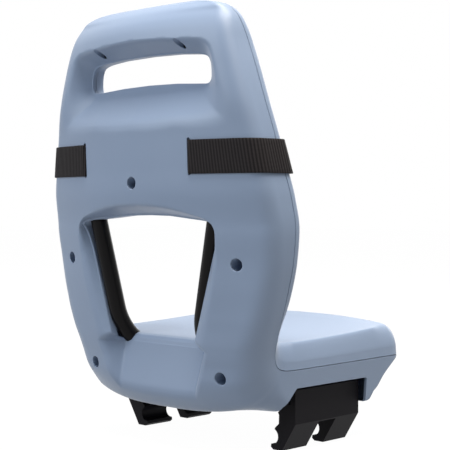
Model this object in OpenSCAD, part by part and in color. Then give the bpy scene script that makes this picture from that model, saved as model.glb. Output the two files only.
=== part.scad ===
// Rear child bike seat. Millimetres. X is to the right seen from behind, Y forward, Z up.
// Z zero is the bottom of the clamp hooks.

/* [Seat shells] */
// Overall width across the backrest
back_width = 327; // [310:1:340]
// Wall thickness of both shells
wall = 3; // [2.5:0.1:3.2]
// Gap along the parting line of the two shells
parting_gap = 0.2; // [0.1:0.05:0.4]
// Diameter of each screw well
well_diameter = 12.5; // [11:0.5:13]
// Depth of each screw well
well_depth = 16; // [12:1:18]

/* [Strap] */
// Width of the webbing
strap_width = 33; // [30:1:35]
// Thickness of the webbing
strap_thickness = 1.8; // [1.2:0.1:2.4]
// Height of the strap centre
strap_height = 294.5; // [293:0.5:297]
// Distance of each strap slot from the centre
slot_offset = 78; // [74:1:82]

/* [Frame] */
// Outside diameter of the frame tube
tube_diameter = 18; // [16:1:19]
// Wall of the frame tube
tube_wall = 1.8; // [1.2:0.1:2.5]

/* [Clamps] */
// How far each clamp is moved in from its widest place
clamp_travel = 0; // [0:1:33]
// Radius of the carrier rail that the jaws hold
rail_radius = 8; // [7:0.5:9]
// Diameter of the guide rods
rod_diameter = 10; // [8:1:11]
// Running clearance of sliding and turning pieces, on the radius
slide_clearance = 0.08; // [0.04:0.02:0.1]
// Diameter of the spindle
spindle_diameter = 8; // [7:0.5:9]
// Diameter of the hand wheel
wheel_diameter = 38; // [34:1:40]

/* [Fasteners] */
// Shank diameter of the shell screws
shell_screw = 4; // [3:0.5:4.5]
// Shank diameter of the carrier screws
carrier_screw = 5; // [4:0.5:5.5]

/* [Show] */
// Piece to build, or all

/* [Hidden] */
$fn = 48;
sx = back_width / 327;
plastic = [0.46, 0.53, 0.64];
black = [0.09, 0.09, 0.1];
steel = [0.62, 0.63, 0.65];
webbing = [0.11, 0.11, 0.12];
brass = [0.72, 0.6, 0.35];

// Rear shell stations from the top of the back, down and forward to the nose of the seat.
// Each row: parting Y, parting Z, section angle, half width, depth at centre, crown, corner.
stations = [
    [-110, 450.9, 180, 12, 2.4, 0.4, 1],
    [-110, 450, 180, 31.6, 5, 1, 1.5],
    [-109.5, 448, 180, 55, 9, 2, 3],
    [-108.5, 445, 180, 77.5, 13.5, 3.5, 5],
    [-107, 441, 180, 94, 19, 5.5, 7],
    [-105, 436, 180, 104, 24.5, 7.5, 9],
    [-102, 429, 180, 110.5, 31, 10, 11],
    [-99, 420, 180, 115.5, 37, 12, 12],
    [-96, 405, 180, 120.8, 42.5, 14, 13],
    [-94.3, 380, 180, 129, 46, 16, 14],
    [-92, 350, 180, 138.4, 48.5, 18, 14],
    [-88, 318, 180, 147.5, 50.5, 21, 14],
    [-83.6, 285, 180, 155, 53.2, 23, 14],
    [-78.5, 255, 180, 161.1, 56.8, 25, 14],
    [-75, 225, 180, 163.5, 56, 26, 15],
    [-73.6, 195, 180, 160.5, 53.6, 25, 16],
    [-73.6, 165, 180, 153, 49.4, 22, 17],
    [-73.8, 140, 180, 145, 45, 18, 18],
    [-73, 122, 180, 138.5, 43.3, 15.5, 19],
    [-71, 108, 180, 134.5, 43.8, 15, 22],
    [-69, 98, 190, 132.5, 44, 16, 24],
    [-65.5, 91, 207, 131.5, 48.5, 20, 24],
    [-61, 87.5, 225, 131.5, 53, 23, 24],
    [-57.5, 86.4, 236.8, 132, 55.7, 23, 24],
    [-54.5, 85.6, 245, 132.5, 50.5, 15, 22],
    [-46, 85, 262, 133.5, 45.6, 5, 14],
    [-34, 85, 270, 134, 45, 1, 6],
    [20, 85.2, 270, 134, 45.2, 0.5, 4],
    [82, 85.6, 270, 134, 45.6, 0.5, 4],
    [92, 85.7, 270, 134, 44, 8.5, 5],
    [106, 85.8, 270, 134, 29.5, 9.5, 5],
    [119, 85.9, 270, 134, 17, 9.5, 3],
    [126, 86, 270, 132.5, 10, 7.5, 1.5],
    [130.5, 86, 270, 118, 5.5, 3.8, 1],
    [134, 86, 270, 82, 3, 1.6, 0.6],
    [136, 86, 270, 30, 2, 0.8, 0.6]
];

// Front face of the backrest. Each row: Z, lip depth at the side, depth at centre.
front_face = [[87, 8, 3], [108, 8.5, -2], [122, 8.5, -5], [140, 8.5, -7.5], [165, 8.5, -10.5],
    [195, 8.5, -12], [225, 8.5, -12], [255, 8.5, -12], [285, 8.5, -9], [318, 8.5, -7],
    [350, 8.5, -7], [380, 8.5, -8], [405, 8.5, -7], [420, 8, -4], [429, 7.5, -1], [436, 7, 1],
    [441, 6.5, 3], [445, 5.5, 4], [448, 4, 3.6], [450, 2.5, 2.2], [450.9, 1.9, 1.6]];

// Seat block stations. Each row: Y, half width, bottom Z, top Z, half width of the flat top.
seat_rows = [[-84, 118, 88, 103, 110], [-80.5, 118.4, 88, 110, 110], [-75, 119, 88, 111.3, 110],
    [-66, 120, 88, 111.6, 110], [-60, 124, 88, 111.7, 110], [-54.5, 130.5, 85.8, 111.7, 113],
    [-44, 133.6, 85.2, 111.8, 115], [-20, 134, 85.2, 112, 115.5],
    [40, 134, 85.5, 114, 116], [90, 134, 85.8, 116.6, 116], [112, 134, 86.05, 118.6, 114],
    [120, 133.8, 86.1, 119.6, 111], [126, 132.5, 86.1, 120, 106],
    [130.5, 126, 86.1, 118.6, 99],
    [134, 110, 86.2, 114.5, 84], [136.4, 80, 86.3, 107, 60], [138, 40, 86.4, 98, 28]];

// Frame tube centre line, with the bend radius at each inner point.
tube_x = 54;
tube_z = 94.5;
tube_points = [[-tube_x, 66, tube_z], [-tube_x, -95, tube_z], [-113.1, -110.5, 334],
    [113.1, -110.5, 334], [tube_x, -95, tube_z], [tube_x, 66, tube_z]];
tube_bends = [50, 34, 34, 50];

tube_r = tube_diameter / 2;
saddle_y = [-22, 52];
plate_z = tube_z - tube_r - 3;
arm_top = plate_z - 0.3;
rod_z = 55;
rod_y = [-13, 57];
spindle_y = 22;
rod_r = rod_diameter / 2;
rail_x = 94.5;
rail_z = 13.5;
carrier_bolts = [[-38, -41], [38, -41], [-38, 84], [38, 84]];
// Screw wells. Each row: X, Z, Y of the outer face there, depth, Y where the front boss ends,
// diameter, screw length under the head.
wells = [[0, 270, -136.5, well_depth, -94.5, well_diameter, 11],
    [123, 191, -112, well_depth, -80, well_diameter, 11],
    [-123, 191, -112, well_depth, -80, well_diameter, 11],
    [93.5, 79, -105, well_depth, -62, well_diameter, 11],
    [-93.5, 79, -105, well_depth, -62, well_diameter, 11],
    [60, 405, -126, well_depth - 4, -104.5, well_diameter - 3, 8],
    [-60, 405, -126, well_depth - 4, -104.5, well_diameter - 3, 8]];
well_floor = 2;

function flip(list) = [for (i = [len(list) - 1:-1:0]) list[i]];
function unit(v) = v / norm(v);

// Right half of a section in lateral and depth coordinates, from the parting edge to the centre.
function half_section(w, deep, crown, r, lead, power) =
    let (side = deep - crown, draft = 0.07 * side, wc = w - draft, rr = min(r, side * 0.8),
        wi = wc - rr, back = deep - crown * pow(wi / wc, power),
        a = [wc + draft * rr / side, side - rr], b = [wi, back])
    concat(lead > 0 ? [[w, -lead]] : [], [[w, 0], (a + [w, 0]) / 2 + [0.15, 0], a],
        [for (t = [0.25, 0.5, 0.75]) (1 - t) * (1 - t) * a + 2 * t * (1 - t) * [wc, side]
            + t * t * b],
        [for (f = [1, 0.8, 0.6, 0.4, 0.2, 0]) [wi * f, deep - crown * pow(wi * f / wc, power)]]);

function full_section(h) = concat(h, [for (i = [len(h) - 2:-1:0]) [-h[i].x, h[i].y]]);

// Place of the parting edge and of the centre of the outer face, moved inward by o.
function row_p(i) = [stations[i][3] * sx, stations[i][0], stations[i][1]];
function row_b(i) = let (s = stations[i]) [s[0] + s[4] * cos(s[2]), s[1] + s[4] * sin(s[2])];
last_row = len(stations) - 1;
function p_in(i, o) =
    let (t = row_p(min(i + 1, last_row)) - row_p(max(i - 1, 0)), l = norm(t),
        s = norm([t.y, t.z]))
    row_p(i) - o * [s / l, -t.x * t.y / (l * s), -t.x * t.z / (l * s)];
function b_in(i, o) =
    let (t = row_b(min(i + 1, last_row)) - row_b(max(i - 1, 0)))
    row_b(i) - o * unit([t.y, -t.x]);

function tub_ring(i, o, lead) =
    let (p = p_in(i, o), b = b_in(i, o), d = [b.x - p.y, b.y - p.z], deep = norm(d),
        e = d / deep, crown = min(stations[i][5], deep * 0.9),
        sec = full_section(half_section(p.x, deep, crown, max(stations[i][6] - o, 0.3), lead,
            stations[i][2] > 200 && stations[i][2] < 260 ? 3 : 2)))
    [for (q = sec) [q.x, p.y + e.x * q.y, p.z + e.y * q.y]];

// Closed solid through a list of rings with the same number of points.
module skin(rings, split = []) {
    m = len(rings[0]);
    n = len(rings);
    points = [for (r = rings) for (p = r) p];
    sides = [for (i = [0:n - 2]) for (j = [0:m - 1])
        let (a = i * m + j, b = i * m + (j + 1) % m)
        each [[a, b, b + m], [a, b + m, a + m]]];
    loops = len(split) > 0 ? split : [[for (j = [0:m - 1]) j]];
    caps = [for (c = loops) each [flip(c), [for (j = c) (n - 1) * m + j]]];
    polyhedron(points, concat(sides, caps));
}

module tub(o, lead, first, last) {
    skin([for (i = [last:-1:first]) tub_ring(i, o, lead)]);
}

// Stations along the frame tube, each a point and a direction, with round bends.
function tube_line(extra) =
    let (n = len(tube_points),
        d = [for (i = [0:n - 2]) unit(tube_points[i + 1] - tube_points[i])])
    concat([[tube_points[0] - extra * d[0], d[0]]],
        [for (i = [1:n - 2]) let (u = d[i - 1], v = d[i], turn = acos(u * v),
            side = unit(v - (u * v) * u), r = tube_bends[i - 1],
            start = tube_points[i] - r * tan(turn / 2) * u)
            for (k = [0:9]) let (a = turn * k / 9)
                [start + r * (sin(a) * u + (1 - cos(a)) * side), cos(a) * u + sin(a) * side]],
        [[tube_points[n - 1] + extra * d[n - 2], d[n - 2]]]);

module bent_tube(r, extra) {
    skin([for (s = tube_line(extra)) let (a = unit(cross(s[1], [0.3, 1, 0.8])),
        b = cross(s[1], a)) [for (k = [0:23]) s[0] + r * (cos(15 * k) * a - sin(15 * k) * b)]]);
}

// Outline in X and Z pushed along Y from y0 to y1.
module wall_cut(y0, y1) {
    translate([0, y1, 0]) rotate([90, 0, 0]) linear_extrude(y1 - y0) children();
}

// Lower opening. grow widens it all round.
function arc(c, r, a0, a1, n) =
    [for (i = [0:n]) c + r * [cos(a0 + (a1 - a0) * i / n), sin(a0 + (a1 - a0) * i / n)]];
function opening_half(g) = concat(
    [[0, 237.6 + g], [30, 237 + g], [58, 234.3 + g]],
    arc([82, 217], 14.2 + g, 78, -14, 6),
    [[65.5 + g, 119]],
    arc([57, 113], 8 + g, -14, -90, 3));
module opening_shape(g) {
    h = opening_half(g);
    polygon(concat(h, [for (p = flip(h)) if (p.x > 0) [-p.x, p.y]]));
}

// Handle slot and its scooped pocket.
function slot_half(g) = concat([[0, 399.5 + g], [40, 398.6 + g], [70, 396 + g]],
    arc([78, 385], 10 + g, 75, 0, 3), arc([80, 375], 9 + g, 0, -90, 3), [[40, 369 - g],
    [0, 370 - g]]);
module slot_shape(g) {
    h = slot_half(g);
    polygon(concat(h, [for (p = flip(h)) if (p.x > 0) [-p.x, p.y]]));
}
// Outer edge of the pocket on the back face, in X, Y and Z.
scoop_edge = [[0, -143, 414], [55, -140, 412], [92, -133, 409.5], [104, -129, 402],
    [110, -127, 385], [117, -127, 355], [122, -127, 338], [119, -128, 328], [108, -131, 324.5],
    [60, -140, 324], [0, -143, 324.5]];
module scoop(g) {
    hull() {
        wall_cut(-110.1 + g, -110 + g) slot_shape(g);
        for (s = [-1, 1], p = scoop_edge)
            translate([s * (p.x + (p.x > 0 ? g : 0)), p.y - 2, p.z + (p.z > 370 ? g : -g)])
                cube(0.1);
    }
}

// Soft bevel round the lower opening, on the back face in X, Y and Z.
bevel_edge = [[0, -135, 249], [40, -133.5, 247.5], [66, -129.5, 243], [84, -126, 236.5],
    [95, -123, 228], [101, -121, 219], [103.5, -120, 209], [102, -120, 198], [91, -119, 150],
    [80, -118, 112]];
module opening_bevel(g) {
    hull() {
        wall_cut(-108.1, -108) opening_shape(g);
        for (s = [-1, 1], p = bevel_edge)
            translate([s * (p.x + (p.x > 0 ? g : 0)), p.y - 2, p.z + (p.z > 230 ? g : 0)])
                cube(0.1);
    }
}

// Dished panel under the opening, from the back face up to the parting line.
module dish(g) {
    hull() {
        translate([-66 * sx - g, -84.2 + g, 104 - g]) cube([132 * sx + 2 * g, 0.1, 20]);
        translate([-80 * sx - g, -125, 104 - g]) cube([160 * sx + 2 * g, 0.1, 20]);
        translate([-62 * sx - g, -108 + g, 52 - g]) cube([124 * sx + 2 * g, 0.1, 0.1]);
        translate([-64 * sx - g, -125, 52 - g]) cube([128 * sx + 2 * g, 0.1, 0.1]);
    }
}

module rear_shell() {
    color(plastic) difference() {
        union() {
            difference() {
                tub(0, 0, 0, last_row);
                tub(wall, 2, 2, last_row - 4);
            }
            intersection() {
                tub(0, 0, 0, last_row);
                union() {
                    scoop(wall);
                    opening_bevel(wall);
                    dish(wall);
                    wall_cut(-150, -100) opening_shape(wall);
                    for (w = wells)
                        translate([w[0], w[2] + w[3] + well_floor, w[1]]) rotate([90, 0, 0])
                            cylinder(h = 60, d = w[5] + 2 * wall);
                }
            }
            for (b = carrier_bolts)
                translate([b.x, b.y, 42]) cylinder(h = plate_z - 42, d = 14);
        }
        scoop(0);
        wall_cut(-120, -60) slot_shape(0);
        opening_bevel(0);
        dish(0);
        wall_cut(-160, -60) opening_shape(0);
        for (w = wells) {
            translate([w[0], w[2] + w[3], w[1]]) rotate([90, 0, 0])
                cylinder(h = 60, d = w[5]);
            translate([w[0], w[2] + w[3] + 10, w[1]]) rotate([90, 0, 0])
                cylinder(h = 60, d = shell_screw + 0.6);
        }
        translate([0, -127.5, strap_height]) cube([40, 9, strap_width + 1], center = true);
        for (s = [-1, 1])
            translate([s * slot_offset, -135, strap_height + 0.5])
                cube([4, 40, strap_width + 3.5], center = true);
        bent_tube(tube_r + 0.6, 0);
        for (s = [0, 1])
            mirror([s, 0, 0]) clamp_bay();
        translate([-8, spindle_y - 22, 30]) cube([16, 44, 20]);
        for (b = carrier_bolts)
            translate([b.x, b.y, 30]) {
                cylinder(h = 60, d = carrier_screw + 0.5);
                cylinder(h = 18, d = 9.5);
            }
    }
}

module clamp_bay() {
    translate([57, 0, 0]) rotate([90, 0, 90])
        linear_extrude(90)
            polygon([[-52, 20], [-52, 49], [-36, 66.5], [76, 66.5], [76, 20]]);
}

function face_pts(w, lip, mid, o) =
    let (wi = w - 6) [for (f = [1, 0.93, 0.83, 0.7, 0.5, 0.25, 0])
        [wi * f, lip - o - (lip - mid) * (1 - pow(f, 4))]];

// Pieces of an end face of the backrest front, each between its back and its front line.
front_half = [for (j = [0:8]) j < 8 ? [j, j + 1, 17 - j, 18 - j] : [8, 9, 10]];
front_ends = concat(front_half, [for (c = front_half) [for (j = flip(c)) (36 - j) % 36]]);

// Section of the backrest front, in lateral coordinate and depth forward of the parting.
function front_section(w, lip, mid, i) =
    let (f = face_pts(w, lip, mid, 0),
        h = concat([[w, parting_gap], [w - 0.4, lip * 0.5], [w - 2, lip * 0.85]], f),
        b = concat([[w - wall, parting_gap],
            i > 7 ? [w - wall - 0.4, lip - wall - 1.6] : [w - wall - 2, parting_gap + 0.1]],
            [for (p = f) [p.x * 0.97, i > 7 ? p.y - wall
                : min(parting_gap + 0.4 - 0.2 * pow(p.x / w, 2), i < 2 ? 9 : p.y - wall)]]),
        right = concat(flip(b), h))
    concat(right, [for (i = [len(right) - 2:-1:1]) [-right[i].x, right[i].y]]);

function cavity_section(w, lip, mid, o) =
    let (f = face_pts(w, lip, mid, o),
        right = concat([[w - wall, -40], [w - wall, max(parting_gap + 0.3, lip * 0.5 - 1)]],
            [for (p = f) [min(p.x, w - wall - 1), p.y]]))
    concat(right, [for (i = [len(right) - 2:-1:0]) [-right[i].x, right[i].y]]);

front_list = [for (i = [0:20]) i];

function front_ring(i, cav, o = wall) =
    let (s = stations[i], lip = lookup(s[1], [for (q = front_face) [q[0], q[1]]]),
        mid = lookup(s[1], [for (q = front_face) [q[0], q[2]]]),
        sec = cav ? cavity_section(s[3] * sx, lip, mid, o) : front_section(s[3] * sx, lip, mid, i))
    [for (q = sec) [q.x, s[0] + q.y, s[1] - (cav ? 0.7 : 0)]];

function seat_half(w, z0, z1, wt) =
    let (hgt = z1 - z0, a = [w - 0.8, z0 + hgt * 0.3], c = [w - 5.5, z1 - 1.5], b = [wt, z1])
    concat([[w, z0]], [for (t = [0, 0.25, 0.5, 0.75, 1])
        (1 - t) * (1 - t) * a + 2 * t * (1 - t) * c + t * t * b],
        [[wt * 0.6, z1 + 0.6], [wt * 0.3, z1 + 1], [0, z1 + 1.1]]);
function seat_ring(q, o) =
    let (w = q[1] * sx, h = seat_half(w - o, q[2] - (o > 0 ? 20 : 0), q[3] - o, q[4] * sx - o),
        y = q[0])
    [for (p = concat(h, [for (i = [len(h) - 2:-1:0]) [-h[i].x, h[i].y]])) [p.x, y, p.y]];

module front_shell() {
    color(plastic) difference() {
        union() {
            difference() {
                union() {
                    skin([for (i = front_list) front_ring(i, false)], front_ends);
                    skin([for (q = seat_rows) seat_ring(q, 0)]);
                }
                skin([for (i = [0:len(seat_rows) - 3]) seat_ring(seat_rows[i]
                    + [i == 0 ? 3 : 0, 0, 0, 0, 0], wall)]);
            }
            difference() {
                for (w = wells)
                    translate([w[0], w[4], w[1]]) rotate([90, 0, 0])
                        cylinder(h = w[4] - w[2] - w[3] - well_floor - 0.2, d = 9);
                scoop(wall + parting_gap);
            }
            for (s = [-1, 1])
                translate([s * 93.5 - 2, -84, 79]) cube([4, 22, 27]);
            intersection() {
                skin([for (i = [3:19]) front_ring(i, true, 0.5)]);
                union() {
                    intersection() {
                        wall_cut(-99.8, -60) opening_shape(3 + wall);
                        translate([-150, -120, 124.5]) cube([300, 100, 200]);
                    }
                    wall_cut(-106.7, -80) slot_shape(wall);
                }
            }
        }
        wall_cut(-130, -60) slot_shape(0);
        intersection() {
            wall_cut(-130, -40) opening_shape(3);
            rotate([90, 0, 90]) linear_extrude(300, center = true)
                polygon([[-130, 80], [-84.2, 80], [-84.2, 104], [-80.5, 112], [-76, 113.3],
                    [-44, 113.3], [-44, 300], [-130, 300]]);
        }
        difference() {
            hull() {
                dish(wall + 0.3);
                translate([0, 0, 1]) dish(wall + 0.3);
            }
            translate([-65.2, -90, 105.3]) cube([130.4, 20, 30]);
        }
        for (w = wells)
            translate([w[0], w[2] + w[3] + w[6] + 1, w[1]]) rotate([90, 0, 0])
                cylinder(h = 30, d = shell_screw);
        bent_tube(tube_r + 0.6, 0);
    }
}

module frame_tube() {
    color(black) difference() {
        bent_tube(tube_r, 0);
        bent_tube(tube_r - tube_wall, 1);
    }
}

module tube_plugs() {
    color(black) for (s = [-1, 1])
        translate([s * tube_x, 66, tube_z]) rotate([-90, 0, 0]) {
            cylinder(h = 3, r = tube_r);
            translate([0, 0, -10]) cylinder(h = 11, r = tube_r - tube_wall - 0.1);
        }
}

module carrier() {
    color(steel) difference() {
        union() {
            translate([-78, -50, plate_z]) cube([156, 144, 3]);
            translate([-12.5, -22.6, 46]) cube([25, 89.2, plate_z - 45]);
            for (y = [-25.6, 66.6])
                translate([-78, y, 49]) cube([156, 3, plate_z - 48]);
        }
        translate([-7.5, spindle_y - 21, 40]) cube([15, 42, 37]);
        for (y = rod_y)
            translate([-20, y, rod_z]) rotate([0, 90, 0]) cylinder(h = 40, d = rod_diameter);
        translate([-20, spindle_y, rod_z]) rotate([0, 90, 0])
            cylinder(h = 40, r = spindle_diameter / 2 + slide_clearance);
        for (b = carrier_bolts)
            translate([b.x, b.y, 40]) cylinder(h = 60, d = carrier_screw + 0.4);
        for (s = [-1, 1], y = saddle_y, d = [-1, 1])
            translate([s * tube_x + d * 16, y, 70]) cylinder(h = 40, d = 4.3);
    }
}

module tube_saddles() {
    color(steel) for (s = [-1, 1], y = saddle_y)
        difference() {
            union() {
                translate([s * tube_x, y + 7, tube_z]) rotate([90, 0, 0])
                    cylinder(h = 14, r = tube_r + 2.5);
                translate([s * tube_x - 22, y - 7, plate_z + 3.1]) cube([44, 14, 2.5]);
            }
            translate([s * tube_x, y + 10, tube_z]) rotate([90, 0, 0])
                cylinder(h = 20, r = tube_r + 0.1);
            translate([s * tube_x - 30, y - 10, plate_z - 16.9]) cube([60, 20, 20]);
            translate([s * tube_x - tube_r, y - 10, plate_z]) cube([2 * tube_r, 20, tube_r + 3]);
            for (d = [-1, 1])
                translate([s * tube_x + d * 16, y, 70]) cylinder(h = 40, d = 4.3);
        }
}

module saddle_screws() {
    color(steel) for (s = [-1, 1], y = saddle_y, d = [-1, 1])
        translate([s * tube_x + d * 16, y, 0]) {
            translate([0, 0, plate_z + 0.2]) cylinder(h = 6, d = 4);
            translate([0, 0, plate_z + 5.8]) cylinder(h = 2.6, d = 7.5);
        }
}

module carrier_screws() {
    color(steel) for (b = carrier_bolts)
        translate([b.x, b.y, 0]) {
            translate([0, 0, 47.5]) cylinder(h = plate_z - 40, d = carrier_screw);
            translate([0, 0, 44.3]) cylinder(h = 3.5, d = 8.8);
            translate([0, 0, plate_z + 3.1]) cylinder(h = 3.5, d = 8, $fn = 6);
        }
}

module guide_rods() {
    color(steel) for (y = rod_y)
        translate([-80, y, rod_z]) rotate([0, 90, 0]) cylinder(h = 160, d = rod_diameter);
}

module spindle() {
    color(steel) translate([-70, spindle_y, rod_z]) rotate([0, 90, 0])
        cylinder(h = 140, d = spindle_diameter);
}

module hand_wheel() {
    color(black) translate([-7, spindle_y, rod_z]) rotate([0, 90, 0])
        difference() {
            cylinder(h = 14, d = wheel_diameter);
            translate([0, 0, -1]) cylinder(h = 16, d = spindle_diameter);
            for (i = [0:11])
                rotate([0, 0, i * 30 + 15]) translate([wheel_diameter / 2 + 1.2, 0, -1])
                    cylinder(h = 16, r = 3);
        }
}

module retaining_rings() {
    color(steel) for (s = [-1, 1])
        translate([s * 13.7 - 0.6, spindle_y, rod_z]) rotate([0, 90, 0]) difference() {
            cylinder(h = 1.2, d = spindle_diameter + 5);
            translate([0, 0, -1]) cylinder(h = 3, d = spindle_diameter);
        }
}

// Outline of a clamp leg seen from the front, in X and Z, for the right clamp.
leg_top = 63;
function leg_outline() = concat(
    [[119, leg_top], [125.6, leg_top], [125.6, 28.5], [107.6, 0], [96, 0], [92.8, 2.5],
        [93.4, rail_z - sqrt(pow(rail_radius, 2) - pow(rail_x - 93.4, 2)) + 1],
        [rail_x, rail_z], [rail_x + 2.8, rail_z + 6]],
    [[98.4, 22.5], [103.5, 27], [103.8, 36], [102.3, 38.5], [105, 41], [105, 48]],
    [[119, 48]]);

module leg(y0, y1) {
    translate([0, y1, 0]) rotate([90, 0, 0]) linear_extrude(y1 - y0) polygon(leg_outline());
}

module clamp_body() {
    color(black) difference() {
        union() {
            difference() {
                union() {
                    leg(-29, 73);
                }
                translate([rail_x, 80, rail_z]) rotate([90, 0, 0])
                    cylinder(h = 116, r = rail_radius);
                translate([80, 9, -5]) cube([60, 27, 32]);
                translate([100, -29, 48]) rotate([45, 0, 0]) translate([0, -20, 0])
                    cube([40, 20, 40]);
            }
            translate([46, -22, 47.5]) cube([74, 88, arm_top - 47.5]);
        }
        for (y = rod_y)
            translate([30, y, rod_z]) rotate([0, 90, 0])
                cylinder(h = 87, r = rod_r + slide_clearance);
        translate([30, spindle_y, rod_z]) rotate([0, 90, 0])
            cylinder(h = 87, r = spindle_diameter / 2 + 1);
        translate([40, spindle_y, rod_z]) rotate([0, 90, 0])
            cylinder(h = 9, d = spindle_diameter + 8);
        translate([53.5, spindle_y - 7, 40]) cube([13, 14, 22.5]);
        translate([50, -19, 64]) cube([66, 82, 30]);
        translate([50, -4, 50.5]) cube([66, 16, 30]);
        translate([50, 32, 50.5]) cube([66, 16, 30]);
    }
}

module clamp_right() {
    translate([-clamp_travel, 0, 0]) clamp_body();
}

module clamp_left() {
    mirror([1, 0, 0]) clamp_right();
}

module nut_body() {
    color(brass) translate([53.7 - clamp_travel, spindle_y - 6.8, 47.8]) difference() {
        cube([12.6, 13.6, 14.5]);
        translate([-1, 6.8, rod_z - 47.8]) rotate([0, 90, 0])
            cylinder(h = 20, r = spindle_diameter / 2 + slide_clearance / 2);
    }
}

module nut_right() {
    nut_body();
}

module nut_left() {
    mirror([1, 0, 0]) nut_body();
}

// Strap: places on the side of the shell at a height, moved outward by o.
back_rows = [for (s = stations) if (s[2] == 180) s];
function at_height(z, k) = lookup(-z, [for (s = back_rows) [-s[1], s[k]]]);
buckle_bar_x = 31;
buckle_bar_y = -57.7;
buckle_bar_r = 2.5;
strap_front = buckle_bar_y - buckle_bar_r - 0.35 - strap_thickness - 0.15;

function strap_line(z, o) =
    let (w = at_height(z, 3) * sx + o, deep = at_height(z, 4) + o, crown = at_height(z, 5),
        side = deep - crown, draft = 0.07 * side, wc = w - draft, rr = 14 + o, wi = wc - rr,
        x0 = slot_offset + 4, p = at_height(z, 0), a = [wc + draft * rr / side, side - rr],
        b = [wi, deep - crown * pow(wi / wc, 2)])
    concat([for (f = [0, 0.2, 0.4, 0.6, 0.8, 1]) let (x = x0 + (wi - x0) * f)
            [x, p - deep + crown * pow(x / wc, 2)]],
        [for (t = [0.75, 0.5, 0.25, 0]) let (q = (1 - t) * (1 - t) * a
            + 2 * t * (1 - t) * [wc, side] + t * t * b) [q.x, p - q.y]],
        [[(a.x + w) / 2, p - a.y / 2], [w, p]]);

function strap_path(z, o) = let (p = at_height(z, 0), w = at_height(z, 3) * sx,
        xs = slot_offset + 1.25 - o, turn = buckle_bar_r + 0.5 + strap_thickness - o,
        back = strap_front + 0.5 + 2 * strap_thickness + 0.35 - o)
    concat([[0, -126.5 - o], [60, -124.5 - o], [xs, -124 - o], [xs, -132.8 - o * 0.8]],
        strap_line(z, o),
        [[w + o, p + 9], [w - 5 + o * 0.7, p + 14 + o * 0.7], [w - 26, strap_front - 1 + o],
        [buckle_bar_x + 2, strap_front + o]],
        [for (a = [-100:-32:-324]) [buckle_bar_x + turn * cos(a), buckle_bar_y
            + turn * sin(a)]],
        [[buckle_bar_x + 9, back], [buckle_bar_x + 40, back]]);

module half_strap() {
    lo = strap_height - strap_width / 2;
    hi = strap_height + strap_width / 2;
    a = 0.35;
    b = a + strap_thickness;
    i0 = strap_path(lo, a);
    o0 = strap_path(lo, b);
    i1 = strap_path(hi, a);
    o1 = strap_path(hi, b);
    skin([for (i = [len(i0) - 1:-1:0]) [[i0[i].x, i0[i].y, lo], [i1[i].x, i1[i].y, hi],
        [o1[i].x, o1[i].y, hi], [o0[i].x, o0[i].y, lo]]]);
}

module lap_strap() {
    color(webbing) {
        half_strap();
        mirror([1, 0, 0]) half_strap();
    }
}

buckle_half = strap_width / 2 + 4;

// Two arms and the bar that the webbing turns round.
module buckle_web_end(x0) {
    for (s = [-1, 1])
        translate([x0, buckle_bar_y - 3.5, strap_height + s * (buckle_half - 1.6) - 1.6])
            cube([buckle_bar_x + 3.5 - x0, 7, 3.2]);
    translate([buckle_bar_x, buckle_bar_y, strap_height - buckle_half])
        cylinder(h = 2 * buckle_half, r = buckle_bar_r);
}

module buckle_socket() {
    color(black) {
        difference() {
            union() {
                translate([-5, buckle_bar_y - 5.2, strap_height - buckle_half])
                    cube([30, 10.4, 2 * buckle_half]);
                buckle_web_end(24);
            }
            translate([-6, buckle_bar_y - 3, strap_height - buckle_half + 5.5])
                cube([26, 6, 2 * buckle_half - 11]);
            for (s = [-1, 1])
                translate([2.5, buckle_bar_y - 3, strap_height + s * (buckle_half - 3.5) - 4.5])
                    cube([11.5, 6, 9]);
        }
    }
}

module buckle_tongue() {
    color(black) {
        translate([-25, buckle_bar_y - 4.6, strap_height - buckle_half])
            cube([19.6, 9.2, 2 * buckle_half]);
        mirror([1, 0, 0]) buckle_web_end(24);
        translate([-6, buckle_bar_y - 2.6, strap_height - 3]) cube([24, 5.2, 6]);
        for (s = [0, 1])
            translate([0, buckle_bar_y + 2.6, strap_height]) mirror([0, 0, s])
                rotate([90, 0, 0]) linear_extrude(5.2)
                    polygon([for (q = [[-6, 11.5], [-6, 6.5], [3, 6.3], [4.4, 0.5], [8, 1.1],
                        [15, 7.5], [18, 9.5], [18, 11.5]]) [q.x, buckle_half - q.y]]);
    }
}

module strap_keeper() {
    color(black) difference() {
        translate([-62, strap_front - 1.6, strap_height - strap_width / 2 - 2.4])
            cube([9, 2 * strap_thickness + 4, strap_width + 4.8]);
        translate([-63, strap_front - 0.1, strap_height - strap_width / 2 - 0.4])
            cube([11, 2 * strap_thickness + 0.9, strap_width + 0.8]);
    }
}

module shell_screws() {
    color(steel) for (w = wells)
        translate([w[0], w[2], w[1]]) rotate([-90, 0, 0]) {
            translate([0, 0, w[3] - 2.7]) cylinder(h = 2.6, d = 8);
            translate([0, 0, w[3] - 0.2]) cylinder(h = w[6], d = shell_screw);
        }
}

rear_shell();
front_shell();
frame_tube();
tube_plugs();
carrier();
tube_saddles();
saddle_screws();
carrier_screws();
guide_rods();
spindle();
hand_wheel();
retaining_rings();
clamp_left();
clamp_right();
nut_left();
nut_right();
lap_strap();
buckle_socket();
buckle_tongue();
strap_keeper();
shell_screws();
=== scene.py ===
# Rear child bike seat: surfaces, materials, light and camera. Sizes are in millimetres until
# a mesh is made, and in metres from there.
import math

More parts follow.
